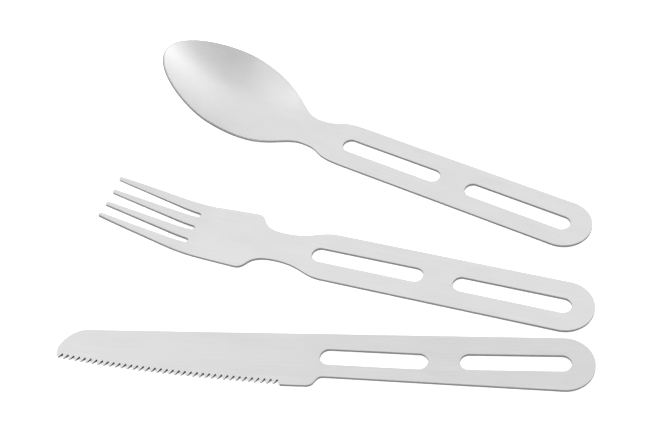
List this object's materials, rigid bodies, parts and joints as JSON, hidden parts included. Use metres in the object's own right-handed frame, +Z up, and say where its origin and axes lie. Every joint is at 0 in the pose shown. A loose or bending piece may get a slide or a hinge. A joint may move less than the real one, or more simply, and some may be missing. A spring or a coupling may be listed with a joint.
{
  "type": "picnic cutlery set",
  "caption": "Loose picnic cutlery of pressed stainless steel sheet: a knife with a serrated edge, a fork with bent-up tines and a spoon, each with a slotted handle, lying fanned apart.",
  "frame": {"origin": "centre of the set's plan, on the surface that the three pieces lie on", "axes": "+Z up from the surface; +X along the fork, from its tines to the butt of its handle; +Y from the knife to the spoon"},
  "size_m": [0.1913, 0.1487, 0.0207],
  "materials": {
    "stainless_steel": "light grey stainless steel sheet, satin brushed along each piece, with slightly darker cut edges"
  },
  "bodies": {
    "knife": {"knife": "stainless_steel"},
    "fork": {"fork": "stainless_steel"},
    "spoon": {"spoon": "stainless_steel"}
  },
  "joints": [
    {"name": "fork_lift", "type": "slide", "parent": "knife", "child": "fork", "axis": [0, 0, 1], "range_m": [0, 0.1]},
    {"name": "spoon_lift", "type": "slide", "parent": "knife", "child": "spoon", "axis": [0, 0, 1], "range_m": [0, 0.1]}
  ]
}
